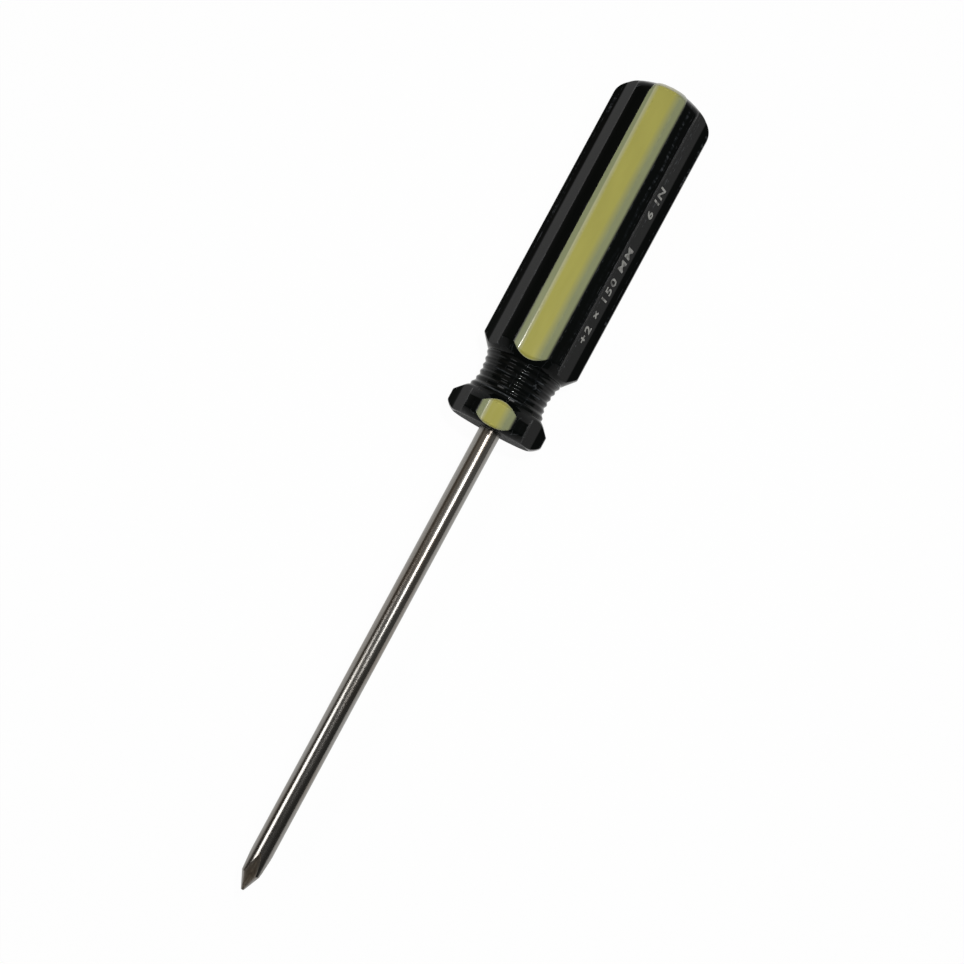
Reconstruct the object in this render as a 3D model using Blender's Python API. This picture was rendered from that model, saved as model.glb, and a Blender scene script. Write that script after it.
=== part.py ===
# A cross-head screwdriver: a round steel blade pressed into a fluted plastic handle
# that has coloured strips laid in every other flute, cut away at the turned neck.
# It lies on two lands of the handle, with the tip towards +X and +Z up. The origin is at the
# middle of its box, on the surface that it lies on. All sizes are in metres.
# Distances along the tool are measured from the handle's front face, which is at x = 0
# under the tool_axis empty, with the blade on the +X side.

import math

import bmesh
import bpy
from mathutils import Matrix, Vector

# Blade outside the handle
BLADE_REACH = 0.150
BAR_DIAMETER = 0.0066
TIP_HALF_ANGLE = math.radians(26.5)
TIP_END_DIAMETER = 0.0009

# Ground cross at the tip
CROSS_FLUTES = 4
CROSS_FLUTE_ANGLE = math.radians(92)
CROSS_ROOT_SLOPE = math.radians(5.75)
CROSS_ROOT_RADIUS = 0.0004  # at the very tip
CROSS_ROOT_LENGTH = 0.0041  # straight part of the root, from the tip
GRIND_RADIUS = 0.026  # of the wheel that runs each flute out to the bar's surface

# Blade inside the handle
TANG_LENGTH = 0.060
TANG_CHAMFER = 0.0008
EAR_SPAN = 0.0092  # across both ears
EAR_THICKNESS = 0.0028
EAR_LENGTH = 0.008
EAR_CHAMFER = 0.0008
EAR_SETBACK = 0.014  # from the tang's end to the ears

# Handle, along its axis from the front face
HANDLE_LENGTH = 0.1100
FACE_EDGE_LENGTH = 0.0024
COLLAR_LAND = 0.0032
COLLAR_FLARE = 0.0035
NECK_LENGTH = 0.0117
BODY_FLARE = 0.0036
BUTT_EDGE_RADIUS = 0.0045
BUTT_DOME_RADIUS = 0.024

# Handle, across its axis
LAND_RADIUS = 0.0152
FACE_EDGE_DEPTH = 0.0029  # from the lands to the flat of the front face
FACE_EDGE_FULLNESS = 1.35  # 1 is a plain chamfer, 2 a quarter of an ellipse
FLARE_DEPTH = 0.0031  # from the lands to the foot of each flare
NECK_DEPTH = 0.0043  # from the lands to the crests at the waist
WAIST_SHARE = 0.38  # of the neck's length, from the collar to the waist
NECK_RINGS = 6
RING_DEPTH = 0.0004

# Flutes along the handle
FLUTES = 6
LAND_ANGLE = math.radians(16.2)
FLUTE_DEPTH = 0.00125  # below the line between a flute's two edges
FLUTE_FLOOR_WIDTH = 0.0061
FLUTE_FILLET = 0.0015

# Strips laid in every other flute
STRIPE_SPACING = 2
STRIPE_SINK = 0.00035  # of the strip's flat, below the line between the flute's edges
STRIPE_FLAT_WIDTH = 0.0068
STRIPE_THICKNESS = 0.0008
STRIPE_EDGE_THICKNESS = 0.0004
CORE_WIDTH = 0.0060

# Between pieces that touch
CLEARANCE = 0.0003

# Fineness of the round shapes
TURNED_STEPS = 48
BAR_STEPS = 32
ARC_STEPS = 4
RING_STEPS = 4
BED_STEPS = 4

ACETATE_BLACK = ((0.004, 0.005, 0.005, 1.0), 0.18, 0.0)
ACETATE_YELLOW = ((0.40, 0.36, 0.085, 1.0), 0.22, 0.0)
ACETATE_PALE = ((0.22, 0.235, 0.16, 1.0), 0.25, 0.0)
PLATED_STEEL = ((0.45, 0.43, 0.40, 1.0), 0.25, 1.0)

BAR_RADIUS = BAR_DIAMETER / 2
FLUTE_HALF_ANGLE = math.pi / FLUTES - LAND_ANGLE / 2
EDGE_OFFSET = LAND_RADIUS * math.sin(FLUTE_HALF_ANGLE)  # of a flute's edge from its middle
EDGE_HEIGHT = LAND_RADIUS * math.cos(FLUTE_HALF_ANGLE)  # of the line between its edges
NECK_START = FACE_EDGE_LENGTH + COLLAR_LAND + COLLAR_FLARE
BODY_START = NECK_START + NECK_LENGTH + BODY_FLARE


def clear_scene():
    for obj in list(bpy.data.objects):
        bpy.data.objects.remove(obj, do_unlink=True)


def finish_material(name, finish):
    color, roughness, metallic = finish
    material = bpy.data.materials.new(name)
    material.use_nodes = True
    shader = material.node_tree.nodes["Principled BSDF"]
    shader.inputs["Base Color"].default_value = color
    shader.inputs["Roughness"].default_value = roughness
    shader.inputs["Metallic"].default_value = metallic
    material.diffuse_color = color
    return material


def add_object(bm, name, parent):
    bmesh.ops.recalc_face_normals(bm, faces=bm.faces)
    mesh = bpy.data.meshes.new(name)
    bm.to_mesh(mesh)
    bm.free()
    obj = bpy.data.objects.new(name, mesh)
    bpy.context.scene.collection.objects.link(obj)
    obj.parent = parent
    return obj


def finish_piece(obj, finish):
    obj.data.materials.append(finish_material(obj.name, finish))
    obj.data.shade_smooth()
    obj.data.set_sharp_from_angle(angle=math.radians(30))
    return obj


def hide_guide(obj):
    obj.hide_render = True
    obj.display_type = "WIRE"
    return obj


def add_boolean(obj, operation, other):
    modifier = obj.modifiers.new(other.name, "BOOLEAN")
    modifier.operation = operation
    modifier.solver = "EXACT"
    modifier.object = other


def arc_points(center, radius, start, end, steps):
    """Points of an arc in a plane, at even angles from start to end."""
    turns = [start + (end - start) * i / steps for i in range(steps + 1)]
    return [(center[0] + radius * math.cos(t), center[1] + radius * math.sin(t)) for t in turns]


def turned_solid(profile, steps, name, parent):
    """Spins a profile of (x, radius) points, which starts and ends on the axis, about X.

    It starts half a step from the top, so that its facets' edges keep clear of the flutes' middles."""
    bm = bmesh.new()
    start = Matrix.Rotation(math.pi / steps, 4, "X")
    verts = [bm.verts.new(start @ Vector((x, 0, radius))) for x, radius in profile]
    edges = [bm.edges.new(pair) for pair in zip(verts, verts[1:])]
    bmesh.ops.spin(
        bm, geom=verts + edges, cent=(0, 0, 0), axis=(1, 0, 0), angle=2 * math.pi, steps=steps, use_merge=True
    )
    bmesh.ops.remove_doubles(bm, verts=bm.verts, dist=1e-6)
    return add_object(bm, name, parent)


def extruded_solid(outline, x_from, x_to, name, parent):
    """Extrudes an outline of (y, z) points along X."""
    bm = bmesh.new()
    face = bm.faces.new([bm.verts.new((x_from, y, z)) for y, z in outline])
    moved = bmesh.ops.extrude_face_region(bm, geom=[face])["geom"]
    moved_verts = [item for item in moved if isinstance(item, bmesh.types.BMVert)]
    bmesh.ops.translate(bm, vec=(x_to - x_from, 0, 0), verts=moved_verts)
    return add_object(bm, name, parent)


# Cross-section of the handle. Each flute is drawn in its own frame, with its middle at the top:
# u runs across it and v away from the axis.


def turned_point(u, v, turn):
    """The (y, z) place of a flute's (u, v) point once the flute is turned about the axis."""
    return (u * math.cos(turn) + v * math.sin(turn), v * math.cos(turn) - u * math.sin(turn))


def mirrored(half):
    """A whole outline from its half at +u, ordered from -u to +u."""
    return [(-u, v) for u, v in reversed(half)] + [(u, v) for u, v in half if u > 0]


def flute_half():
    """The open flute: a flat floor, a fillet and a wall that rises to the flute's edge."""
    floor = EDGE_HEIGHT - FLUTE_DEPTH
    corner = FLUTE_FLOOR_WIDTH / 2
    wall_angle = math.atan2(FLUTE_DEPTH, EDGE_OFFSET - corner)
    start = corner - FLUTE_FILLET * math.tan(wall_angle / 2)
    fillet = arc_points(
        (start, floor + FLUTE_FILLET), FLUTE_FILLET, -math.pi / 2, wall_angle - math.pi / 2, ARC_STEPS
    )
    return fillet + [(EDGE_OFFSET, EDGE_HEIGHT)]


def stripe_top(u):
    """Height of a strip's outer face: flat in the middle, then rising to the flute's edge."""
    flat = STRIPE_FLAT_WIDTH / 2
    rise = STRIPE_SINK * max(0.0, u - flat) / (EDGE_OFFSET - flat)
    return EDGE_HEIGHT - STRIPE_SINK + rise


def stripe_underside(u):
    """Height of a strip's inner face: hollow, from the middle up to the thin edge."""
    outer = EDGE_OFFSET - CLEARANCE
    middle_height = stripe_top(0) - STRIPE_THICKNESS
    outer_height = stripe_top(outer) - STRIPE_EDGE_THICKNESS
    return middle_height + (outer_height - middle_height) * (u / outer) ** 2


def underside_points(u_from, u_to):
    """The inner face from one place across it to another."""
    places = [u_from + (u_to - u_from) * i / BED_STEPS for i in range(BED_STEPS + 1)]
    return [(u, stripe_underside(u)) for u in places]


def bed_half():
    """The flute under a strip, cut deeper so that the strip lies in it with a clearance."""
    bed = [(u, v - CLEARANCE) for u, v in underside_points(0, EDGE_OFFSET - CLEARANCE)]
    return bed[:-1] + [(EDGE_OFFSET, bed[-1][1]), (EDGE_OFFSET, EDGE_HEIGHT)]


def is_striped(flute):
    return flute % STRIPE_SPACING == 0


def flute_turn(flute):
    return 2 * math.pi * flute / FLUTES


def handle_outline():
    """The black bar's outline: each flute or bed, then the land that follows it."""
    points = []
    for flute in range(FLUTES):
        half = bed_half() if is_striped(flute) else flute_half()
        turn = flute_turn(flute)
        points += [turned_point(u, v, turn) for u, v in mirrored(half)]
        land = [FLUTE_HALF_ANGLE + LAND_ANGLE * i / ARC_STEPS for i in range(1, ARC_STEPS)]
        points += [turned_point(0, LAND_RADIUS, turn + angle) for angle in land]
    return points


def core_outline():
    side = CORE_WIDTH / 2
    return mirrored([(side, stripe_top(side))]) + mirrored(underside_points(0, side))[::-1]


def edge_outline(side):
    """One edge strip: side is -1 or 1."""
    inner = CORE_WIDTH / 2 + CLEARANCE
    outer = EDGE_OFFSET - CLEARANCE
    crease = STRIPE_FLAT_WIDTH / 2
    points = [(inner, stripe_top(inner))]
    if inner < crease < outer:
        points.append((crease, stripe_top(crease)))
    points += [(outer, stripe_top(outer))] + underside_points(outer, inner)
    return [(side * u, v) for u, v in points]


# Turned form of the handle, from which the neck, the flares and both ends get their shape.


def neck_points():
    """Ringed neck from the collar to the body, as (distance, radius)."""
    foot = LAND_RADIUS - FLARE_DEPTH
    waist = LAND_RADIUS - NECK_DEPTH
    points = []
    for i in range(NECK_RINGS * RING_STEPS + 1):
        share = i / (NECK_RINGS * RING_STEPS)
        reach = WAIST_SHARE if share < WAIST_SHARE else 1 - WAIST_SHARE
        crest = waist + (foot - waist) * ((share - WAIST_SHARE) / reach) ** 2
        groove = RING_DEPTH * (1 + math.cos(2 * math.pi * NECK_RINGS * share)) / 2
        points.append((NECK_START + NECK_LENGTH * share, crest - groove))
    return points


def face_points(land):
    """Eased edge of the front face, from the flat out to the lands."""
    power = 2 / FACE_EDGE_FULLNESS
    turns = [math.pi / 2 * i / (ARC_STEPS + 2) for i in range(ARC_STEPS + 3)]
    shares = [(1 - math.cos(t) ** power, 1 - math.sin(t) ** power) for t in turns]
    return [(FACE_EDGE_LENGTH * back, land - FACE_EDGE_DEPTH * below) for back, below in shares]


def butt_points(land):
    """Rounded butt: an edge fillet that runs into a shallow dome, ending on the axis."""
    dome_center = HANDLE_LENGTH - BUTT_DOME_RADIUS
    offset = land - BUTT_EDGE_RADIUS
    reach = math.sqrt((BUTT_DOME_RADIUS - BUTT_EDGE_RADIUS) ** 2 - offset**2)
    meet = math.atan2(offset, reach)
    edge = arc_points((dome_center + reach, offset), BUTT_EDGE_RADIUS, math.pi / 2, meet, ARC_STEPS + 2)
    dome = arc_points((dome_center, 0), BUTT_DOME_RADIUS, meet, 0, ARC_STEPS)
    return edge + dome[1:-1] + [(HANDLE_LENGTH, 0)]


def handle_form(parent):
    """Everything outside this solid is turned away from the bar and the strips."""
    margin = LAND_RADIUS * (1 / math.cos(math.pi / TURNED_STEPS) - 1)
    land = LAND_RADIUS + 2 * margin
    collar = [(FACE_EDGE_LENGTH + COLLAR_LAND, land)]
    profile = [(0, 0)] + face_points(land) + collar + neck_points() + [(BODY_START, land)] + butt_points(land)
    return hide_guide(turned_solid([(-x, r) for x, r in profile], TURNED_STEPS, "handle_form", parent))


# Pieces


def ear_box(grow, name, parent):
    """The plate that the two ears are pressed from, or their void in the handle."""
    x_low = -TANG_LENGTH + EAR_SETBACK
    bm = bmesh.new()
    bmesh.ops.create_cube(bm, size=1)
    size = (EAR_LENGTH + 2 * grow, EAR_SPAN + 2 * grow, EAR_THICKNESS + 2 * grow)
    bmesh.ops.scale(bm, vec=size, verts=bm.verts)
    bmesh.ops.translate(bm, vec=(x_low + EAR_LENGTH / 2, 0, 0), verts=bm.verts)
    upright = [e for e in bm.edges if abs(e.verts[0].co.z - e.verts[1].co.z) > EAR_THICKNESS / 2]
    bmesh.ops.bevel(bm, geom=upright, offset=EAR_CHAMFER, affect="EDGES", segments=1, profile=0.5, material=-1)
    return hide_guide(add_object(bm, name, parent))


def tang_void(parent):
    """The hole that the tang and its ears fill, open at the handle's front face."""
    radius = BAR_RADIUS + CLEARANCE
    end = -(TANG_LENGTH + CLEARANCE)
    mouth = LAND_RADIUS
    profile = [(end, 0), (end, radius - TANG_CHAMFER), (end + TANG_CHAMFER, radius), (mouth, radius), (mouth, 0)]
    void = hide_guide(turned_solid(profile, BAR_STEPS, "tang_void", parent))
    add_boolean(void, "UNION", ear_box(CLEARANCE, "ear_void", parent))
    return void


def add_handle_body(form, parent):
    past = LAND_RADIUS
    body = extruded_solid(handle_outline(), -HANDLE_LENGTH - past, past, "handle_body", parent)
    add_boolean(body, "INTERSECT", form)
    add_boolean(body, "DIFFERENCE", tang_void(parent))
    return finish_piece(body, ACETATE_BLACK)


def add_strip(outline, flute, x_from, x_to, name, form, parent, finish):
    turned = [turned_point(u, v, flute_turn(flute)) for u, v in outline]
    strip = extruded_solid(turned, x_from, x_to, name, parent)
    add_boolean(strip, "INTERSECT", form)
    return finish_piece(strip, finish)


def add_stripes(form, parent):
    """Core and edge strips, on the collar and on the body, in each striped flute."""
    waist = -(NECK_START + NECK_LENGTH * WAIST_SHARE)
    past = LAND_RADIUS
    spans = {"collar": (waist, past), "body": (-HANDLE_LENGTH - past, waist)}
    for span, (x_from, x_to) in spans.items():
        for number, flute in enumerate(filter(is_striped, range(FLUTES)), start=1):
            stem = f"{span}_stripe_{number}"
            place = (flute, x_from, x_to)
            add_strip(core_outline(), *place, f"{stem}_core", form, parent, ACETATE_YELLOW)
            add_strip(edge_outline(-1), *place, f"{stem}_edge_left", form, parent, ACETATE_PALE)
            add_strip(edge_outline(1), *place, f"{stem}_edge_right", form, parent, ACETATE_PALE)


def blade_profile():
    """Tang end, bar and tip cone, as (x, radius)."""
    tip_end = TIP_END_DIAMETER / 2
    cone = (BAR_RADIUS - tip_end) / math.tan(TIP_HALF_ANGLE)
    return [
        (-TANG_LENGTH, 0),
        (-TANG_LENGTH, BAR_RADIUS - TANG_CHAMFER),
        (-TANG_LENGTH + TANG_CHAMFER, BAR_RADIUS),
        (BLADE_REACH - cone, BAR_RADIUS),
        (BLADE_REACH, tip_end),
        (BLADE_REACH, 0),
    ]


def cross_root_points():
    """Root line of one tip flute, as (x, radius), from past the tip until it is clear of the bar."""
    slope = math.tan(CROSS_ROOT_SLOPE)
    past = BAR_RADIUS
    bend_radius = CROSS_ROOT_RADIUS + CROSS_ROOT_LENGTH * slope
    points = [(BLADE_REACH + past, CROSS_ROOT_RADIUS - past * slope)]
    end_angle = math.acos(math.cos(CROSS_ROOT_SLOPE) - (1.2 * BAR_RADIUS - bend_radius) / GRIND_RADIUS)
    for i in range(2 * ARC_STEPS + 1):
        angle = CROSS_ROOT_SLOPE + (end_angle - CROSS_ROOT_SLOPE) * i / (2 * ARC_STEPS)
        along = CROSS_ROOT_LENGTH + GRIND_RADIUS * (math.sin(angle) - math.sin(CROSS_ROOT_SLOPE))
        out = bend_radius + GRIND_RADIUS * (math.cos(CROSS_ROOT_SLOPE) - math.cos(angle))
        points.append((BLADE_REACH - along, out))
    return points


def cross_cutter(flute, parent):
    """The V-shaped cutter of one tip flute. The first faces up."""
    height = 2 * BAR_RADIUS
    half_width = height * math.tan(CROSS_FLUTE_ANGLE / 2)
    turn = Matrix.Rotation(2 * math.pi * flute / CROSS_FLUTES, 4, "X")
    roots = [turn @ Vector((x, 0, radius)) for x, radius in cross_root_points()]
    section = [Vector((0, 0, 0)), Vector((0, half_width, height)), Vector((0, -half_width, height))]
    bm = bmesh.new()
    cap = face = bm.faces.new([bm.verts.new(roots[0] + turn @ corner) for corner in section])
    for here, there in zip(roots, roots[1:]):
        moved = bmesh.ops.extrude_face_region(bm, geom=[face])["geom"]
        if face != cap:
            bmesh.ops.delete(bm, geom=[face], context="FACES_ONLY")
        face = next(item for item in moved if isinstance(item, bmesh.types.BMFace))
        bmesh.ops.translate(bm, vec=there - here, verts=face.verts)
    return hide_guide(add_object(bm, f"cross_cutter_{flute + 1}", parent))


def add_blade(parent):
    blade = turned_solid(blade_profile(), BAR_STEPS, "blade", parent)
    add_boolean(blade, "UNION", ear_box(0, "ear_plate", parent))
    for flute in range(CROSS_FLUTES):
        add_boolean(blade, "DIFFERENCE", cross_cutter(flute, parent))
    return finish_piece(blade, PLATED_STEEL)


def lowest_reach():
    """How far the handle's lands reach below its axis."""
    spacing = 2 * math.pi / FLUTES
    off_flute = (math.pi + spacing / 2) % spacing - spacing / 2
    return LAND_RADIUS * math.cos(max(0.0, FLUTE_HALF_ANGLE - abs(off_flute)))


def add_tool_axis():
    axis = bpy.data.objects.new("tool_axis", None)
    bpy.context.scene.collection.objects.link(axis)
    axis.location = ((HANDLE_LENGTH - BLADE_REACH) / 2, 0, lowest_reach())
    return axis


def build():
    clear_scene()
    axis = add_tool_axis()
    form = handle_form(axis)
    add_handle_body(form, axis)
    add_stripes(form, axis)
    add_blade(axis)
    bpy.context.view_layer.update()


build()
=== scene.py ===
# Looks for the cross-head screwdriver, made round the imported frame. Lengths are in metres.
# Distances along the tool, called back, run from the handle's front face towards its butt.
import math

import bmesh
import bpy
from mathutils import Matrix, Vector


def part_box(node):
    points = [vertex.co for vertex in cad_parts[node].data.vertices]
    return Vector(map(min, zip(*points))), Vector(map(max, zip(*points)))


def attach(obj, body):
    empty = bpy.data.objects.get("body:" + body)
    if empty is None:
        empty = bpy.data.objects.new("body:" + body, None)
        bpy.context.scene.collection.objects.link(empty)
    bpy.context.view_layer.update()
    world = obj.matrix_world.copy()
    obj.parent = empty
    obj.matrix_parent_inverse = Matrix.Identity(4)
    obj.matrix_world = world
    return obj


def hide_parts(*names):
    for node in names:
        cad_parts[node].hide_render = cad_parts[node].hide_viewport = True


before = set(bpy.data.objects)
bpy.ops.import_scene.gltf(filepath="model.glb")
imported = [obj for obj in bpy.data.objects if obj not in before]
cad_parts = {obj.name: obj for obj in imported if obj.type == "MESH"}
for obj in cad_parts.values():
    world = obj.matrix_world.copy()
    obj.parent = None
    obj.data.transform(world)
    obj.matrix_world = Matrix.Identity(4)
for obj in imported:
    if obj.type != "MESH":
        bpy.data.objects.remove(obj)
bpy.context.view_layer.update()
print("frame loaded:", len(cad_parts), "nodes")

handleLow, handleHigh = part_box("handle_body")
bladeLow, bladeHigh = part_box("blade")
frontX = handleHigh.x
tipX = bladeHigh.x
axisZ = (bladeLow.z + bladeHigh.z) / 2
handleLength = handleHigh.x - handleLow.x
landRadius = (handleHigh.y - handleLow.y) / 2

camera = {
    "height": 0.375,  # above the tool's axis
    "aheadOfFace": 0.0237,
    "aside": 0.0200,
    "middleAheadOfFace": 0.0141,  # the picture's middle, on the tool's axis plane
    "middleAside": 0.0049,
    "toolAngle": math.radians(28.4),  # of the tool from the picture's upright
    "focalPixels": 1304.5,
    "picturePixels": 964,
    "sensor": 36.0,
}

lamps = {
    "keyLamp": {"side": 6.0, "ahead": -9.0, "distance": 0.40, "size": 0.014, "power": 0.80},
    "broadLamp": {"side": 16.0, "ahead": 4.5, "distance": 0.62, "size": 0.16, "power": 0.74},
    "leftLamp": {"side": -34.0, "ahead": 29.0, "distance": 0.60, "size": 0.22, "power": 0.66},
}

surround = {
    "bands": [  # from one side over the top to the other: share of the half turn's width, colour
        (0.000, (0.90, 0.90, 0.89)), (0.012, (0.80, 0.80, 0.79)), (0.022, (0.34, 0.31, 0.28)),
        (0.055, (0.10, 0.076, 0.054)), (0.110, (0.14, 0.110, 0.082)), (0.180, (0.29, 0.250, 0.207)),
        (0.330, (0.24, 0.222, 0.198)), (0.500, (0.25, 0.245, 0.235)), (0.820, (0.20, 0.197, 0.190)),
        (0.890, (0.16, 0.157, 0.150)), (0.980, (0.21, 0.208, 0.200)), (1.000, (0.13, 0.128, 0.122))],
    "dimFrom": -0.04,  # from here to here ahead, the ceiling falls to its darkest
    "dimTo": 0.19,
    "dimShare": 0.78,
    "keepTo": -0.97,  # the pale edge at the low side isn't dimmed up to here
    "dimmedFrom": -0.90,
}
floorShade = {"albedo": 0.86, "lift": 0.97, "glossShare": 0.4, "width": 12.0}

handle = {
    "faceEdge": 0.0024,
    "faceEdgeDepth": 0.0029,
    "faceFullness": 1.35,  # of its edge: 1 is a plain chamfer, 2 a quarter of an ellipse
    "collarLand": 0.0032,
    "collarFlare": 0.0035,
    "neck": 0.0117,
    "bodyFlare": 0.0036,
    "buttEdge": 0.0045,
    "buttDome": 0.024,
    "flareDepth": 0.0031,
    "neckDepth": 0.0043,
    "waistShare": 0.38,
    "rings": 6,
    "ringDepth": 0.0004,
    "flutes": 6,
    "stripedEvery": 2,
    "landAngle": math.radians(16.2),
    "fluteDepth": 0.00125,
    "floorWidth": 0.0061,
    "fillet": 0.0015,
    "edgeEase": 0.00022,  # from a polished edge to where its rounding starts
    "boreDepth": 0.004,
    "boreRadius": 0.0035,
    "gloss": 1.155,
    "neckGloss": 1.22,  # the turned neck shines more than the drawn lands
    "streakAngle": math.radians(30.5),
    "streakSwing": math.radians(3.0),
    "streakWidth": 0.0007,
    "streakStart": 0.050,
    "streakRise": 0.030,  # the length over which it grows to its full strength
}

stripe = {
    "sink": 0.00035,
    "flatWidth": 0.0068,
    "thickness": 0.0008,
    "coreWidth": 0.0060,
    "edgeInset": 0.00017,  # from the flute's edge to the strip's own edge
    "edgeThickness": 0.00003,
    "creaseEase": 0.00035,
    "creaseLean": 0.0011,  # towards the strip's edge, from the neck to the butt
    "heelDepth": 0.0038,  # how much thicker it is where the butt's rounding cuts it
    "heelLength": 0.004,
    "heelLift": 0.00035,
    "coreColor": (0.35, 0.33, 0.08),
    "paleColor": (0.22, 0.24, 0.13),
    # painted shade: the strip darkens to near black along its very edges, where it sits in the flute
    "rimShadeColor": (0.02, 0.02, 0.02),
    # painted highlight: a thin pale line along the strip's left crease
    "creaseGlintColor": (0.38, 0.38, 0.23),
    "blendWidth": 0.0022,  # over which the core's yellow fades into the pale strip
}

blade = {
    "diameter": 0.0066,
    "tipHalfAngle": math.radians(26.5),
    "tipEnd": 0.0009,
    "sides": 96,
    "flutes": 4,
    "fluteAngle": math.radians(92),
    "rootSlope": math.radians(5.75),
    "rootRadius": 0.0004,
    "rootLength": 0.0041,
    "grindRadius": 0.026,
    "tipReach": 0.012,  # the stretch behind the cone that the tip's flutes cut into
}

sizeMark = {
    "text": "+2 × 150 MM     6 IN",
    "height": 0.0031,
    "spacing": 1.26,
    "weight": 0.00010,
    "startBack": 0.0335,
    "depth": 0.00002,
}

fluteHalfAngle = math.pi / handle["flutes"] - handle["landAngle"] / 2
edgeOffset = landRadius * math.sin(fluteHalfAngle)
edgeHeight = landRadius * math.cos(fluteHalfAngle)
collarFlareStart = handle["faceEdge"] + handle["collarLand"]
neckStart = collarFlareStart + handle["collarFlare"]
neckEnd = neckStart + handle["neck"]
bodyStart = neckEnd + handle["bodyFlare"]
footRadius = landRadius - handle["flareDepth"]


# Turned form: paths of (back, radius) points

def arc(center, radius, start, end, steps):
    turns = [start + (end - start) * i / steps for i in range(steps + 1)]
    return [Vector((center[0] + radius * math.cos(t), center[1] + radius * math.sin(t))) for t in turns]


def buttPath(lift=0.0):  # from the pole out to the lands, or a little outside it
    domeCenter = handleLength - handle["buttDome"]
    offset = landRadius - handle["buttEdge"]
    reach = math.sqrt((handle["buttDome"] - handle["buttEdge"]) ** 2 - offset**2)
    meet = math.atan2(offset, reach)
    dome = arc((domeCenter, 0), handle["buttDome"] + lift, 0, meet, 40)
    edge = arc((domeCenter + reach, offset), handle["buttEdge"] + lift, meet, math.pi / 2, 40)
    return dome + edge[1:]


def facePath():  # from the flat front face out to the lands
    length, depth, power = handle["faceEdge"], handle["faceEdgeDepth"], 2 / handle["faceFullness"]
    turns = [math.pi / 2 * i / 40 for i in range(41)]
    shares = [(1 - math.cos(t) ** power, 1 - math.sin(t) ** power) for t in turns]
    return [Vector((length * back, landRadius - depth * below)) for back, below in shares]


def neckPath():  # from the body flare's foot to the collar flare's foot
    steps = handle["rings"] * 12
    waist = landRadius - handle["neckDepth"]
    points = []
    for i in range(steps + 1):
        share = 1 - i / steps
        reach = handle["waistShare"] if share < handle["waistShare"] else 1 - handle["waistShare"]
        crest = waist + (footRadius - waist) * ((share - handle["waistShare"]) / reach) ** 2
        groove = handle["ringDepth"] * (1 + math.cos(2 * math.pi * handle["rings"] * share)) / 2
        points.append(Vector((neckStart + handle["neck"] * share, crest - groove)))
    return points


# Painted highlight and wear: the ring crests are drawn lighter, partly for wear and partly to paint the
# dotted highlights they catch.
def neckWearAndGlint():  # of each ring's crest, in the order of the neck's path
    steps = handle["rings"] * 12
    crests = [(1 - math.cos(2 * math.pi * handle["rings"] * i / steps)) / 2 for i in range(steps + 1)]
    return [max(0.0, 4 * crest - 3) for crest in crests]


def bodyFlare(radius):  # the point of the flare at this radius
    return Vector((neckEnd + handle["bodyFlare"] * (radius - footRadius) / handle["flareDepth"], radius))


def collarFlare(radius):
    return Vector((neckStart - handle["collarFlare"] * (radius - footRadius) / handle["flareDepth"], radius))


def between(path, low, high):  # the stretch of a rising path between two radii
    points = []
    for a, b in zip(path, path[1:]):
        for radius in (low, high):
            if a.y <= radius < b.y:
                points.append(a.lerp(b, (radius - a.y) / (b.y - a.y)))
        if low < b.y < high:
            points.append(b)
    if high >= path[-1].y:
        points.append(path[-1])
    return sorted(points, key=lambda point: point.y)


def evenPoints(path, count):  # count + 1 points, evenly spaced along the path
    runs = [(b - a).length for a, b in zip(path, path[1:])]
    points, done, index = [path[0]], 0.0, 0
    for i in range(1, count):
        goal = sum(runs) * i / count
        while index < len(runs) - 1 and done + runs[index] < goal:
            done += runs[index]
            index += 1
        share = (goal - done) / runs[index] if runs[index] else 0
        points.append(path[index].lerp(path[index + 1], share))
    return points + [path[-1]]


def eased(before, corner, after, ease):  # a corner as a small curve between two holding points
    back, ahead = before - corner, after - corner
    reach = min(ease, 0.4 * back.length, 0.4 * ahead.length)
    back, ahead = back.normalized() * reach, ahead.normalized() * reach
    shares = (0, 1 / 3, 2 / 3, 1)
    curve = [(corner + back).lerp(corner, t).lerp(corner.lerp(corner + ahead, t), t) for t in shares]
    return [corner + back * 1.7, *curve, corner + ahead * 1.7]


def easeAt(points, index, ease):
    return points[:index] + eased(*points[index - 1:index + 2], ease) + points[index + 1:]


# Cross-section in a flute's own frame: across it, and out from the axis

def stripeTop(across):
    flat = stripe["flatWidth"] / 2
    return edgeHeight - stripe["sink"] + stripe["sink"] * max(0.0, abs(across) - flat) / (edgeOffset - flat)


def stripeUnder(across):
    outer = edgeOffset - stripe["edgeInset"]
    low = edgeHeight - stripe["sink"] - stripe["thickness"]
    high = stripeTop(outer) - stripe["edgeThickness"]
    return low + (high - low) * (across / outer) ** 2


def heelShare(across):  # full over most of the strip, falling to nothing at its edges
    return max(0.0, 1 - (across / (edgeOffset - stripe["edgeInset"])) ** 6)


def turned(point, turn):  # a flute's point, once the flute is turned about the axis, in y and z
    across, out = point
    y = across * math.cos(turn) + out * math.sin(turn)
    z = out * math.cos(turn) - across * math.sin(turn)
    return Vector((y, z))


def landPoint(angle):
    return Vector((landRadius * math.sin(angle), landRadius * math.cos(angle)))


# Painted highlight and wear: eased edges are drawn lighter, partly for wear and partly to paint the thin
# glint lines along them.
rimWearAndGlint = (0.0, 0.4, 0.7, 0.7, 0.4, 0.0)  # of the points round an eased edge


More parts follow.
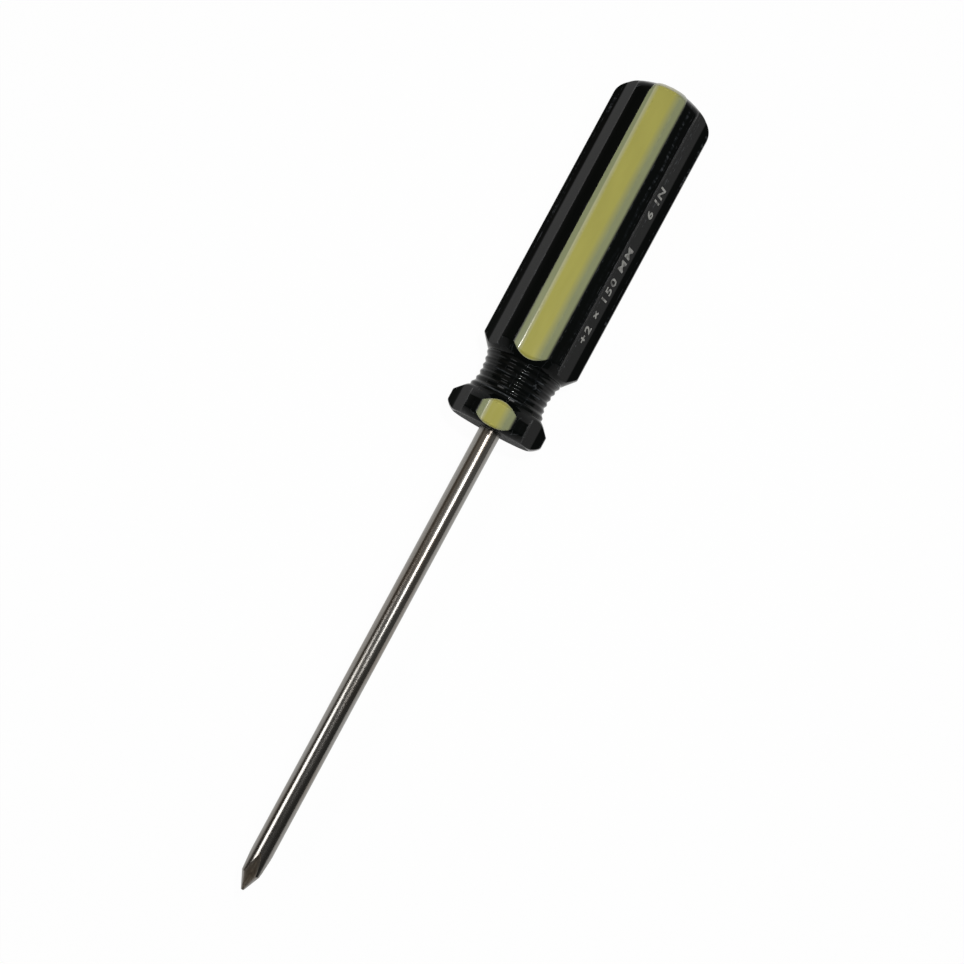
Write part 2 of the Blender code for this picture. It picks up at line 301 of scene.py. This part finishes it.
def openFluteHalf():  # from the middle of the floor to the start of the next land
    low = edgeHeight - handle["fluteDepth"]
    corner = handle["floorWidth"] / 2
    wall = math.atan2(handle["fluteDepth"], edgeOffset - corner)
    start = corner - handle["fillet"] * math.tan(wall / 2)
    fillet = arc((start, low + handle["fillet"]), handle["fillet"], -math.pi / 2, wall - math.pi / 2, 6)
    edge = Vector((edgeOffset, edgeHeight))
    middle = [Vector((start * i / 5, low)) for i in range(5)]
    rise = [fillet[-1].lerp(edge, i / 3) for i in range(1, 3)]
    rim = eased(rise[-1], edge, landPoint(fluteHalfAngle + landMargin), handle["edgeEase"])
    return [(p, None, 0.0) for p in middle + fillet + rise] + [(p, None, w) for p, w in zip(rim, rimWearAndGlint)]


def stripedFluteHalf():  # the same where a strip lies in the flute
    outer = edgeOffset - stripe["edgeInset"]
    bed = [outer * i / 10 for i in range(10)] + [outer * 0.99]
    edge = Vector((edgeOffset, edgeHeight))
    stripEdge = Vector((outer, stripeTop(outer)))
    rim = eased(stripEdge, edge, landPoint(fluteHalfAngle + landMargin), handle["edgeEase"])
    hidden = [(Vector((u, stripeUnder(u))), stripe["heelDepth"] * heelShare(u), 0.0) for u in bed]
    return hidden + [(p, None, w) for p, w in zip([stripEdge, *rim[1:]], rimWearAndGlint)]


def handleOutline():  # places in y and z, how deep a bed's heel is there (None off the beds), and wear with its painted glint
    outline = []
    for flute in range(handle["flutes"]):
        half = openFluteHalf() if flute % handle["stripedEvery"] else stripedFluteHalf()
        turn = 2 * math.pi * flute / handle["flutes"]
        other = [(Vector((-p.x, p.y)), heel, worn) for p, heel, worn in reversed(half[1:])]
        outline += [(turned(p, turn), heel, worn) for p, heel, worn in other + half]
        span = handle["landAngle"] - 2 * landMargin
        lands = [turn + fluteHalfAngle + landMargin + span * i / 6 for i in range(7)]
        outline += [(landPoint(angle), None, 0.0) for angle in lands]
    return outline


# Lofting: each ring of edges is extruded from the last one, and its corners are set

def loft(rings, **values):  # values: a number per corner, kept under its name
    bm = bmesh.new()
    layers = {name: bm.verts.layers.float.new(name) for name in values}
    row = bmesh.ops.create_circle(bm, cap_ends=False, segments=len(rings[0]), radius=1)["verts"]
    row = ringOrder(row)
    rows = [row]
    for vert, place in zip(row, rings[0]):
        vert.co = place
    for ring in rings[1:]:
        edges = [bm.edges.get(pair) for pair in zip(row, row[1:] + row[:1])]
        made = bmesh.ops.extrude_edge_only(bm, edges=edges)["geom"]
        fresh = {item for item in made if isinstance(item, bmesh.types.BMVert)}
        row = [next(e.other_vert(v) for e in v.link_edges if e.other_vert(v) in fresh) for v in row]
        rows.append(row)
        for vert, place in zip(row, ring):
            vert.co = place
    for name, layer in layers.items():
        for row, numbers in zip(rows, values[name]):
            for vert, number in zip(row, numbers):
                vert[layer] = number
    return bm, rows


def ringOrder(verts):  # walks round a loop of verts
    order = [verts[0]]
    while len(order) < len(verts):
        nexts = [e.other_vert(order[-1]) for e in order[-1].link_edges]
        order.append(next(v for v in nexts if v not in order[-2:]))
    return order


def capLoop(bm, row):
    bmesh.ops.contextual_create(bm, geom=[bm.edges.get(pair) for pair in zip(row, row[1:] + row[:1])])


def finishPiece(bm, name, material, slotName, *nodes, sharp=35):
    bmesh.ops.remove_doubles(bm, verts=bm.verts, dist=weldDistance)
    bmesh.ops.recalc_face_normals(bm, faces=bm.faces)
    mesh = bpy.data.meshes.new(name)
    bm.to_mesh(mesh)
    bm.free()
    piece = bpy.data.objects.new(name, mesh)
    bpy.context.scene.collection.objects.link(piece)
    return dressPiece(piece, material, slotName, *nodes, sharp=sharp)


def dressPiece(piece, material, slotName, *nodes, sharp=35):
    if material:
        piece.data.materials.append(material)
    piece.data.shade_smooth()
    piece.data.set_sharp_from_angle(angle=math.radians(sharp))
    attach(piece, "root")
    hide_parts(*nodes)
    return piece


# Materials

def newMaterial(name, **values):
    material = bpy.data.materials.new(name)
    material.use_nodes = True
    shader = material.node_tree.nodes["Principled BSDF"]
    for socket, value in values.items():
        shader.inputs[socket.replace("_", " ")].default_value = value
    return material, shader


def addNode(material, kind, sockets=None, **properties):
    node = material.node_tree.nodes.new(kind)
    for key, value in properties.items():
        setattr(node, key, value)
    for key, value in (sockets or {}).items():
        node.inputs[key].default_value = value
    return node


def join(material, output, socket):
    material.node_tree.links.new(output, socket)


def stretchedNoise(material, scale, noiseScale=1.0, detail=3.0, roughness=0.5):
    place = addNode(material, "ShaderNodeTexCoord")
    mapping = addNode(material, "ShaderNodeMapping", {"Scale": scale})
    texture = addNode(material, "ShaderNodeTexNoise", {
        "Scale": noiseScale, "Detail": detail, "Roughness": roughness})
    join(material, place.outputs["Object"], mapping.inputs["Vector"])
    join(material, mapping.outputs["Vector"], texture.inputs["Vector"])
    return texture.outputs["Fac"]


def rangeOf(material, source, fromLow, fromHigh, toLow, toHigh):
    node = addNode(material, "ShaderNodeMapRange", {
        "From Min": fromLow, "From Max": fromHigh, "To Min": toLow, "To Max": toHigh})
    join(material, source, node.inputs["Value"])
    return node.outputs["Result"]


def colorRamp(material, source, stops):
    node = addNode(material, "ShaderNodeValToRGB")
    elements = node.color_ramp.elements
    elements[0].position, elements[0].color = stops[0][0], (*stops[0][1], 1)
    elements[1].position, elements[1].color = stops[-1][0], (*stops[-1][1], 1)
    for position, color in stops[1:-1]:
        elements.new(position).color = (*color, 1)
    join(material, source, node.inputs["Fac"])
    return node.outputs["Color"]


def addBump(material, shader, height, strength, distance):
    bump = addNode(material, "ShaderNodeBump", {"Strength": strength, "Distance": distance})
    join(material, height, bump.inputs["Height"])
    join(material, bump.outputs["Normal"], shader.inputs["Normal"])


def rubStreak(material):  # one long wandering rub mark beside the upper stripe, towards the butt
    place = addNode(material, "ShaderNodeTexCoord")
    split = addNode(material, "ShaderNodeSeparateXYZ")
    join(material, place.outputs["Object"], split.inputs["Vector"])
    height = addNode(material, "ShaderNodeMath", {1: -axisZ}, operation="ADD")
    join(material, split.outputs["Z"], height.inputs[0])
    turn = addNode(material, "ShaderNodeMath", operation="ARCTAN2")
    join(material, split.outputs["Y"], turn.inputs[0])
    join(material, height.outputs[0], turn.inputs[1])
    wander = stretchedNoise(material, (45, 0, 0), detail=4)
    middle, swing, half = handle["streakAngle"], handle["streakSwing"], handle["streakWidth"] / 2
    line = addNode(material, "ShaderNodeMath", {2: half / landRadius}, operation="COMPARE")
    join(material, turn.outputs[0], line.inputs[0])
    join(material, rangeOf(material, wander, 0.3, 0.7, middle - swing, middle + swing), line.inputs[1])
    start = frontX - handle["streakStart"]
    end = start - handle["streakRise"]
    shown = addNode(material, "ShaderNodeMath", operation="MULTIPLY")
    join(material, line.outputs[0], shown.inputs[0])
    join(material, rangeOf(material, split.outputs["X"], start, end, 0.25, 1), shown.inputs[1])
    return shown.outputs[0]


def blackAcetate(name, gloss):
    material, shader = newMaterial(name, IOR=gloss)
    # The attribute read here lightens eased edges and ring crests: partly wear, partly painted glint.
    wear = addNode(material, "ShaderNodeAttribute", attribute_name="wear")
    broken = stretchedNoise(material, (420, 160, 160), detail=4)
    rubbedAndGlint = addNode(material, "ShaderNodeMath", operation="MULTIPLY")
    join(material, wear.outputs["Fac"], rubbedAndGlint.inputs[0])
    join(material, rangeOf(material, broken, 0.46, 0.64, 0, 1), rubbedAndGlint.inputs[1])
    # Painted highlight and scratches: thin lighter lines along the tool, partly scratches and partly painted
    # glint lines where edges and walls catch light, joined by the rub streak.
    path = stretchedNoise(material, (5, 210, 210), detail=2)  # scratches run along its middle value
    near = addNode(material, "ShaderNodeMath", {1: 0.5, 2: 0.006}, operation="COMPARE")
    join(material, path, near.inputs[0])
    lines = addNode(material, "ShaderNodeMath", operation="MAXIMUM")
    join(material, near.outputs[0], lines.inputs[0])
    join(material, rubStreak(material), lines.inputs[1])
    scratchAndGlint = addNode(material, "ShaderNodeMath", operation="MULTIPLY")
    join(material, lines.outputs[0], scratchAndGlint.inputs[0])
    gaps = stretchedNoise(material, (900, 400, 400))
    join(material, rangeOf(material, gaps, 0.38, 0.62, 0, 0.7), scratchAndGlint.inputs[1])
    marksAndGlints = addNode(material, "ShaderNodeMath", operation="MAXIMUM")
    join(material, rubbedAndGlint.outputs[0], marksAndGlints.inputs[0])
    join(material, scratchAndGlint.outputs[0], marksAndGlints.inputs[1])
    # Painted highlight: the lighter colour on worn edges, crests and scratches partly stands in for glints.
    color = colorRamp(material, marksAndGlints.outputs[0], [
        (0.0, (0.0024, 0.0030, 0.0028)), (0.4, (0.0060, 0.0072, 0.0080)), (1.0, (0.060, 0.065, 0.070))])
    join(material, color, shader.inputs["Base Color"])
    haze = stretchedNoise(material, (60, 900, 900), detail=5)
    join(material, rangeOf(material, haze, 0.35, 0.75, 0.07, 0.15), shader.inputs["Roughness"])
    drawn = stretchedNoise(material, (9, 1700, 1700), detail=3)
    addBump(material, shader, drawn, 0.3, 0.000008)
    return material


def turnedAcetate():  # the front face, left dull by the lathe
    material, shader = newMaterial("turned_acetate", IOR=1.12)
    rub = stretchedNoise(material, (300, 900, 900), detail=3)
    color = colorRamp(material, rub, [(0.35, (0.0040, 0.0048, 0.0046)), (0.65, (0.0080, 0.0090, 0.0088))])
    join(material, color, shader.inputs["Base Color"])
    join(material, rangeOf(material, rub, 0.3, 0.7, 0.42, 0.58), shader.inputs["Roughness"])
    return material


def stripAcetate():
    material, shader = newMaterial("strip_acetate", IOR=1.48, Specular_IOR_Level=0.35)
    across = addNode(material, "ShaderNodeAttribute", attribute_name="across")
    place = addNode(material, "ShaderNodeTexCoord")
    split = addNode(material, "ShaderNodeSeparateXYZ")
    join(material, place.outputs["Object"], split.inputs["Vector"])
    lean = rangeOf(material, split.outputs["X"], frontX - bodyStart, frontX - handleLength,
                   0, stripe["creaseLean"] * 1000)
    leftShare = rangeOf(material, across.outputs["Fac"], 0, -stripe["flatWidth"] * 500, 0, 1)
    leaned = addNode(material, "ShaderNodeMath", operation="MULTIPLY_ADD")
    join(material, lean, leaned.inputs[0])
    join(material, leftShare, leaned.inputs[1])
    join(material, across.outputs["Fac"], leaned.inputs[2])
    share = rangeOf(material, leaned.outputs[0], -edgeOffset * 1000, edgeOffset * 1000, 0, 1)
    core, pale, rim, line = (stripe[key] for key in ("coreColor", "paleColor", "rimShadeColor", "creaseGlintColor"))
    crease = 0.5 - stripe["flatWidth"] / 4 / edgeOffset
    soft = stripe["blendWidth"] / 4 / edgeOffset
    # the rim colour paints shade along the strip's edges, and the crease colour paints a thin highlight along
    # its left crease
    bands = colorRamp(material, share, [
        (0.02, rim), (0.07, pale), (crease - 0.02, pale), (crease, line), (crease + soft, core),
        (1 - crease - 2 * soft, core), (1 - crease, pale), (0.92, pale), (0.98, rim)])
    depth = addNode(material, "ShaderNodeAttribute", attribute_name="depth")
    under = addNode(material, "ShaderNodeMix", {"B": (0.42, 0.43, 0.30, 1)}, data_type="RGBA")
    join(material, rangeOf(material, depth.outputs["Fac"], 0.72, 0.9, 0, 0.6), under.inputs["Factor"])
    join(material, bands, under.inputs["A"])
    cloud = stretchedNoise(material, (90, 260, 260), detail=4)
    tint = addNode(material, "ShaderNodeHueSaturation")
    join(material, rangeOf(material, cloud, 0.3, 0.7, 0.96, 1.04), tint.inputs["Value"])
    join(material, under.outputs["Result"], tint.inputs["Color"])
    join(material, tint.outputs["Color"], shader.inputs["Base Color"])
    haze = stretchedNoise(material, (60, 900, 900), detail=5)
    join(material, rangeOf(material, haze, 0.35, 0.75, 0.07, 0.15), shader.inputs["Roughness"])
    return material


def platedSteel():
    material, shader = newMaterial("plated_steel", Metallic=1.0)
    stain = stretchedNoise(material, (28, 240, 240), detail=3)
    color = colorRamp(material, stain, [
        (0.32, (0.245, 0.215, 0.185)), (0.48, (0.295, 0.282, 0.262)), (0.70, (0.320, 0.315, 0.300))])
    join(material, color, shader.inputs["Base Color"])
    rub = stretchedNoise(material, (40, 160, 160), detail=2)
    join(material, rangeOf(material, rub, 0.3, 0.7, 0.18, 0.23), shader.inputs["Roughness"])
    lines = stretchedNoise(material, (8, 900, 900), detail=2)
    addBump(material, shader, lines, 0.035, 0.000004)
    return material


def groundSteel():  # the cut faces of the cross, left by a grinding wheel
    material, shader = newMaterial("ground_steel", Metallic=1.0)
    stain = stretchedNoise(material, (260, 900, 900), detail=3)
    color = colorRamp(material, stain, [
        (0.30, (0.33, 0.285, 0.235)), (0.50, (0.46, 0.42, 0.365)), (0.72, (0.58, 0.56, 0.52))])
    join(material, color, shader.inputs["Base Color"])
    rub = stretchedNoise(material, (120, 2200, 2200), detail=3)
    join(material, rangeOf(material, rub, 0.3, 0.7, 0.30, 0.45), shader.inputs["Roughness"])
    addBump(material, shader, rub, 0.5, 0.00002)
    return material


def paleStamp():
    material, shader = newMaterial("pale_stamp", Roughness=0.4)
    worn = stretchedNoise(material, (420, 700, 700), detail=3)
    color = colorRamp(material, worn, [(0.34, (0.05, 0.05, 0.045)), (0.52, (0.30, 0.30, 0.28))])
    join(material, color, shader.inputs["Base Color"])
    return material


# Pieces

landMargin = math.radians(1.8)
weldDistance = 1e-7
faceMargin = 1e-5


def heelCorner(butt, reach):  # where the deeper end of a strip or its bed starts
    return Vector((butt.x - stripe["heelLength"], reach))


def handleColumn(reach, heel):
    corner = handle["edgeEase"] if heel is None else handle["edgeEase"] / 40
    butt = evenPoints(between(buttPath(), 0, reach - (heel or 0)), 26)
    flare = evenPoints([bodyFlare(reach), bodyFlare(footRadius)], 3)
    collar = evenPoints([collarFlare(footRadius), collarFlare(reach)], 3)
    face = evenPoints(between(facePath(), 0, reach), 10)[::-1]
    body = evenPoints([butt[-1], heelCorner(butt[-1], reach), flare[0]] if heel else [butt[-1], flare[0]], 12)
    ring = evenPoints([collar[-1], face[0]], 3)
    bore = Vector((0, handle["boreRadius"]))
    end = Vector((handle["boreDepth"], handle["boreRadius"]))
    front = evenPoints([face[-1], bore], 5)[1:] + [end, Vector((handle["boreDepth"], 0))]
    path = butt + body[1:] + flare[1:] + neckPath()[1:] + collar[1:] + ring[1:] + face[1:] + front
    buttCorner = len(butt) - 1
    flareCorner = buttCorner + 12
    collarCorner = flareCorner + 3 + len(neckPath()) - 1 + 3
    for index in (collarCorner + 3, collarCorner, flareCorner, buttCorner):
        path = easeAt(path, index, corner)
    return path


def makeHandle(material, faceMaterial, neckMaterial):
    outline = handleOutline()
    columns = [handleColumn(place.length, heel) for place, heel, _ in outline]
    rings = []
    for k in range(len(columns[0])):
        ring = []
        for (place, _, _), column in zip(outline, columns):
            flat = place.normalized() * column[k].y
            ring.append(Vector((frontX - column[k].x, flat.x, axisZ + flat.y)))
        rings.append(ring)
    # Lighter eased edges and ring crests: partly wear, partly painted glint.
    wearRows = [[worn for _, _, worn in outline]] * len(rings)
    first = next(k for k, point in enumerate(columns[0]) if abs(point.x - neckEnd) < weldDistance)
    for k, worn in enumerate(neckWearAndGlint(), start=first):
        wearRows[k] = [worn] * len(outline)
    bm, _ = loft(rings, wear=wearRows)
    grip = finishPiece(bm, "handle_grip", material, "acetate_black", "handle_body")
    grip.data.materials.append(faceMaterial)
    grip.data.materials.append(neckMaterial)
    for polygon in grip.data.polygons:
        back = frontX - polygon.center.x
        if back < faceMargin:
            polygon.material_index = 1
        elif neckStart < back < neckEnd:
            polygon.material_index = 2
    return grip


def stripLoop(across, span):  # (back, radius) points round the strip at this place across it
    top = Vector((across, stripeTop(across))).length
    under = Vector((across, stripeUnder(across))).length
    if span == "body":
        share = heelShare(across)
        low = under - stripe["heelDepth"] * share
        start = evenPoints(between(buttPath(stripe["heelLift"] * share), low, top), 9)
        end = evenPoints([bodyFlare(top), bodyFlare(under)], 3)
        lower = evenPoints([end[-1], heelCorner(start[0], under), start[0]], 12)
    else:
        low = under
        start = evenPoints([collarFlare(under), collarFlare(top)], 3)
        end = evenPoints(between(facePath(), under, top), 3)[::-1]
        lower = evenPoints([end[-1], start[0]], 6)
    upper = evenPoints([start[-1], end[0]], 12)
    loop = start + upper[1:] + end[1:] + lower[1:-1]
    for index in (len(start) + 11, len(start) - 1):
        loop = easeAt(loop, index, handle["edgeEase"])
    heelStart = start[0].x - stripe["heelLength"] if span == "body" else handleLength
    depths = [(top - point.y) / (top - (low if point.x > heelStart else under)) for point in loop]
    return loop, depths


def makeStrip(span, flute, node, places, slotName, material):
    turn = 2 * math.pi * flute / handle["flutes"]
    rings, depths = [], []
    for across in places:
        loop, depth = stripLoop(across, span)
        ring = []
        for point in loop:
            out = math.sqrt(point.y**2 - across**2)
            flat = turned((across, out), turn)
            ring.append(Vector((frontX - point.x, flat.x, axisZ + flat.y)))
        rings.append(ring)
        depths.append(depth)
    offsets = [[across * 1000] * len(rings[0]) for across in places]
    bm, rows = loft(rings, across=offsets, depth=depths)
    capLoop(bm, rows[0])
    capLoop(bm, rows[-1])
    return finishPiece(bm, node + "_inlay", material, slotName, node)


def makeStrips(material):
    core, outer = stripe["coreWidth"] / 2, edgeOffset - stripe["edgeInset"]
    crease, soft = stripe["flatWidth"] / 2, stripe["creaseEase"]
    corePlaces = [core * (i - 6) / 6 for i in range(13)]
    creasePlaces = [core] + [crease + soft * (i - 2) / 2 for i in range(5)]
    edgePlaces = creasePlaces + [crease + soft + (outer - crease - soft) * i / 5 for i in range(1, 6)]
    flutes = [f for f in range(handle["flutes"]) if f % handle["stripedEvery"] == 0]
    for span in ("collar", "body"):
        for number, flute in enumerate(flutes, start=1):
            node = f"{span}_stripe_{number}"
            left = [-place for place in edgePlaces[::-1]]
            makeStrip(span, flute, node + "_core", corePlaces, "acetate_yellow", material)
            makeStrip(span, flute, node + "_edge_left", left, "acetate_pale", material)
            makeStrip(span, flute, node + "_edge_right", edgePlaces, "acetate_pale", material)


def bladeProfile():  # (x, radius) from the tang's end to the tip
    radius, end = blade["diameter"] / 2, blade["tipEnd"] / 2
    cone = (radius - end) / math.tan(blade["tipHalfAngle"])
    shoulder = tipX - cone
    start = frontX - handle["boreDepth"]
    far, near = shoulder - blade["tipReach"], shoulder
    xs = [start + (far - start) * i / 12 for i in range(12)]
    xs += [far + (near - far) * i / 12 for i in range(13)]
    points = [(start, 0)] + [(x, radius) for x in xs]
    points += [(shoulder + cone * i / 6, radius + (end - radius) * i / 6) for i in range(1, 7)]
    return points + [(tipX, 0)]


def rootPoints():  # root line of a tip flute, from past the tip until it is clear of the bar
    slope, radius = math.tan(blade["rootSlope"]), blade["diameter"] / 2
    bend = blade["rootRadius"] + blade["rootLength"] * slope
    points = [(tipX + radius, blade["rootRadius"] - radius * slope)]
    endAngle = math.acos(math.cos(blade["rootSlope"]) - (1.2 * radius - bend) / blade["grindRadius"])
    for i in range(25):
        angle = blade["rootSlope"] + (endAngle - blade["rootSlope"]) * i / 24
        along = blade["rootLength"] + blade["grindRadius"] * (math.sin(angle) - math.sin(blade["rootSlope"]))
        out = bend + blade["grindRadius"] * (math.cos(blade["rootSlope"]) - math.cos(angle))
        points.append((tipX - along, out))
    return points


def fluteCutter(number, material):
    height = blade["diameter"]
    half = height * math.tan(blade["fluteAngle"] / 2)
    turn = Matrix.Rotation(2 * math.pi * number / blade["flutes"], 4, "X")
    section = [Vector((0, 0, 0)), Vector((0, half, height)), Vector((0, -half, height))]
    place = Matrix.Translation((0, 0, axisZ))
    rings = [[place @ turn @ (Vector((x, 0, out)) + corner) for corner in section] for x, out in rootPoints()]
    bm, rows = loft(rings)
    capLoop(bm, rows[0])
    capLoop(bm, rows[-1])
    bmesh.ops.recalc_face_normals(bm, faces=bm.faces)
    mesh = bpy.data.meshes.new(f"flute_cutter_{number + 1}")
    bm.to_mesh(mesh)
    bm.free()
    mesh.materials.append(material)
    cutter = bpy.data.objects.new(mesh.name, mesh)
    bpy.context.scene.collection.objects.link(cutter)
    return cutter


def makeBlade(material, cutMaterial):
    bm = bmesh.new()
    verts = [bm.verts.new((x, 0, axisZ + radius)) for x, radius in bladeProfile()]
    edges = [bm.edges.new(pair) for pair in zip(verts, verts[1:])]
    bmesh.ops.spin(bm, geom=verts + edges, cent=(0, 0, axisZ), axis=(1, 0, 0), angle=2 * math.pi,
                   steps=blade["sides"], use_merge=True)
    bmesh.ops.remove_doubles(bm, verts=bm.verts, dist=1e-6)
    bmesh.ops.recalc_face_normals(bm, faces=bm.faces)
    mesh = bpy.data.meshes.new("bar")
    bm.to_mesh(mesh)
    bm.free()
    bar = bpy.data.objects.new("blade_bar", mesh)
    bpy.context.scene.collection.objects.link(bar)
    bar.data.materials.append(material)
    cutters = [fluteCutter(number, cutMaterial) for number in range(blade["flutes"])]
    for cutter in cutters:
        cut = bar.modifiers.new(cutter.name, "BOOLEAN")
        cut.operation, cut.solver, cut.object = "DIFFERENCE", "EXACT", cutter
        cut.material_mode = "TRANSFER"
    graph = bpy.context.evaluated_depsgraph_get()
    bar.data = bpy.data.meshes.new_from_object(bar.evaluated_get(graph))
    bar.modifiers.clear()
    for cutter in cutters:
        bpy.data.objects.remove(cutter, do_unlink=True)
    return dressPiece(bar, None, "plated_steel", "blade", sharp=22)


def makeSizeMark(material):
    curve = bpy.data.curves.new("size_mark", "FONT")
    curve.body = sizeMark["text"]
    curve.size = sizeMark["height"] / 0.7
    curve.space_character = sizeMark["spacing"]
    curve.extrude = sizeMark["depth"]
    curve.offset = sizeMark["weight"]
    curve.align_y = "CENTER"
    text = bpy.data.objects.new("size_mark", curve)
    bpy.context.scene.collection.objects.link(text)
    graph = bpy.context.evaluated_depsgraph_get()
    mesh = bpy.data.meshes.new_from_object(text.evaluated_get(graph))
    bpy.data.objects.remove(text, do_unlink=True)
    bm = bmesh.new()
    bm.from_mesh(mesh)
    bmesh.ops.remove_doubles(bm, verts=bm.verts, dist=weldDistance)
    bm.to_mesh(mesh)
    bm.free()
    turn = 2 * math.pi / handle["flutes"]
    low = edgeHeight - handle["fluteDepth"]
    for vert in mesh.vertices:
        along, up, out = vert.co
        flat = turned((-up, low + out), turn)
        vert.co = (frontX - sizeMark["startBack"] - along, flat.x, axisZ + flat.y)
    mark = bpy.data.objects.new("size_mark", mesh)
    bpy.context.scene.collection.objects.link(mark)
    mesh.materials.append(material)
    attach(mark, "root")
    return mark


# Stage

def makeFloor():
    bm = bmesh.new()
    bmesh.ops.create_grid(bm, x_segments=1, y_segments=1, size=floorShade["width"] / 2)
    mesh = bpy.data.meshes.new("floor")
    bm.to_mesh(mesh)
    bm.free()
    floor = bpy.data.objects.new("floor", mesh)
    bpy.context.scene.collection.objects.link(floor)
    material, shader = newMaterial("floor_white", Roughness=0.9, Specular_IOR_Level=0.0)
    albedo = floorShade["albedo"]
    shader.inputs["Base Color"].default_value = (albedo, albedo, albedo, 1)
    lightPath = addNode(material, "ShaderNodeLightPath")
    seen = addNode(material, "ShaderNodeMath", operation="ADD", use_clamp=True)
    other = addNode(material, "ShaderNodeMath", operation="MAXIMUM")
    share = addNode(material, "ShaderNodeMath", {1: floorShade["glossShare"]}, operation="MULTIPLY")
    join(material, lightPath.outputs["Is Glossy Ray"], other.inputs[0])
    join(material, lightPath.outputs["Is Transmission Ray"], other.inputs[1])
    join(material, other.outputs[0], share.inputs[0])
    join(material, lightPath.outputs["Is Camera Ray"], seen.inputs[0])
    join(material, share.outputs[0], seen.inputs[1])
    white = addNode(material, "ShaderNodeEmission", {"Strength": 1.0})
    mix = addNode(material, "ShaderNodeMixShader")
    join(material, rangeOf(material, seen.outputs[0], 0, 1, 0, floorShade["lift"]), mix.inputs["Fac"])
    join(material, shader.outputs["BSDF"], mix.inputs[1])
    join(material, white.outputs["Emission"], mix.inputs[2])
    output = material.node_tree.nodes["Material Output"]
    join(material, mix.outputs["Shader"], output.inputs["Surface"])
    mesh.materials.append(material)


def makeWorld():
    world = bpy.data.worlds.new("studio")
    world.use_nodes = True
    background = world.node_tree.nodes["Background"]
    coordinates = addNode(world, "ShaderNodeTexCoord")
    split = addNode(world, "ShaderNodeSeparateXYZ")
    join(world, coordinates.outputs["Generated"], split.inputs["Vector"])
    side = rangeOf(world, split.outputs["Y"], -1, 1, 0, 1)
    join(world, colorRamp(world, side, surround["bands"]), background.inputs["Color"])
    dim = addNode(world, "ShaderNodeMath", operation="MULTIPLY")
    ahead = rangeOf(world, split.outputs["X"], surround["dimFrom"], surround["dimTo"],
                    0, surround["dimShare"])
    inside = rangeOf(world, split.outputs["Y"], surround["keepTo"], surround["dimmedFrom"], 0, 1)
    join(world, ahead, dim.inputs[0])
    join(world, inside, dim.inputs[1])
    rest = addNode(world, "ShaderNodeMath", {0: 1.0}, operation="SUBTRACT")
    join(world, dim.outputs[0], rest.inputs[1])
    join(world, rest.outputs[0], background.inputs["Strength"])
    white = addNode(world, "ShaderNodeBackground", {"Color": (1, 1, 1, 1), "Strength": 1.0})
    lightPath = addNode(world, "ShaderNodeLightPath")
    mix = addNode(world, "ShaderNodeMixShader")
    join(world, lightPath.outputs["Is Camera Ray"], mix.inputs["Fac"])
    join(world, background.outputs["Background"], mix.inputs[1])
    join(world, white.outputs["Background"], mix.inputs[2])
    join(world, mix.outputs["Shader"], world.node_tree.nodes["World Output"].inputs["Surface"])
    bpy.context.scene.world = world


def makeLamp(name, lamp):
    side, ahead = math.radians(lamp["side"]), math.radians(lamp["ahead"])
    direction = Vector((math.tan(ahead), math.tan(side), 1)).normalized()
    light = bpy.data.lights.new(name, "AREA")
    light.shape = "DISK"
    light.size = lamp["size"]
    light.energy = lamp["power"]
    place = bpy.data.objects.new(name, light)
    place.location = Vector((frontX, 0, axisZ)) + direction * lamp["distance"]
    place.rotation_euler = direction.to_track_quat("Z", "Y").to_euler()
    bpy.context.scene.collection.objects.link(place)


def makeCamera():
    data = bpy.data.cameras.new("camera")
    data.sensor_width = camera["sensor"]
    data.lens = camera["sensor"] * camera["focalPixels"] / camera["picturePixels"]
    data.clip_start, data.clip_end = 0.01, 50
    view = bpy.data.objects.new("camera", data)
    eye = Vector((frontX + camera["aheadOfFace"], camera["aside"], axisZ + camera["height"]))
    aim = Vector((frontX + camera["aheadOfFace"], camera["middleAside"], axisZ))
    backward = (eye - aim).normalized()
    right = Vector((-math.sin(camera["toolAngle"]), math.cos(camera["toolAngle"]), 0))
    up = backward.cross(right).normalized()
    right = up.cross(backward)
    reach = camera["focalPixels"] / camera["picturePixels"] / camera["height"]
    offset = Vector((camera["middleAheadOfFace"] - camera["aheadOfFace"], 0, 0))
    data.shift_x, data.shift_y = reach * offset.dot(right), reach * offset.dot(up)
    view.matrix_world = Matrix.Translation(eye) @ Matrix((right, up, backward)).transposed().to_4x4()
    bpy.context.scene.collection.objects.link(view)
    bpy.context.scene.camera = view


makeCamera()
makeFloor()
makeWorld()
for lampName, lampValues in lamps.items():
    makeLamp(lampName, lampValues)
print("stage, lamps and camera set")
makeHandle(blackAcetate("black_acetate", handle["gloss"]), turnedAcetate(),
           blackAcetate("neck_acetate", handle["neckGloss"]))
print("handle made")
makeStrips(stripAcetate())
print("strips made")
makeBlade(platedSteel(), groundSteel())
print("blade made")
makeSizeMark(paleStamp())
print("size mark made")

bpy.context.scene.view_settings.view_transform = "Standard"
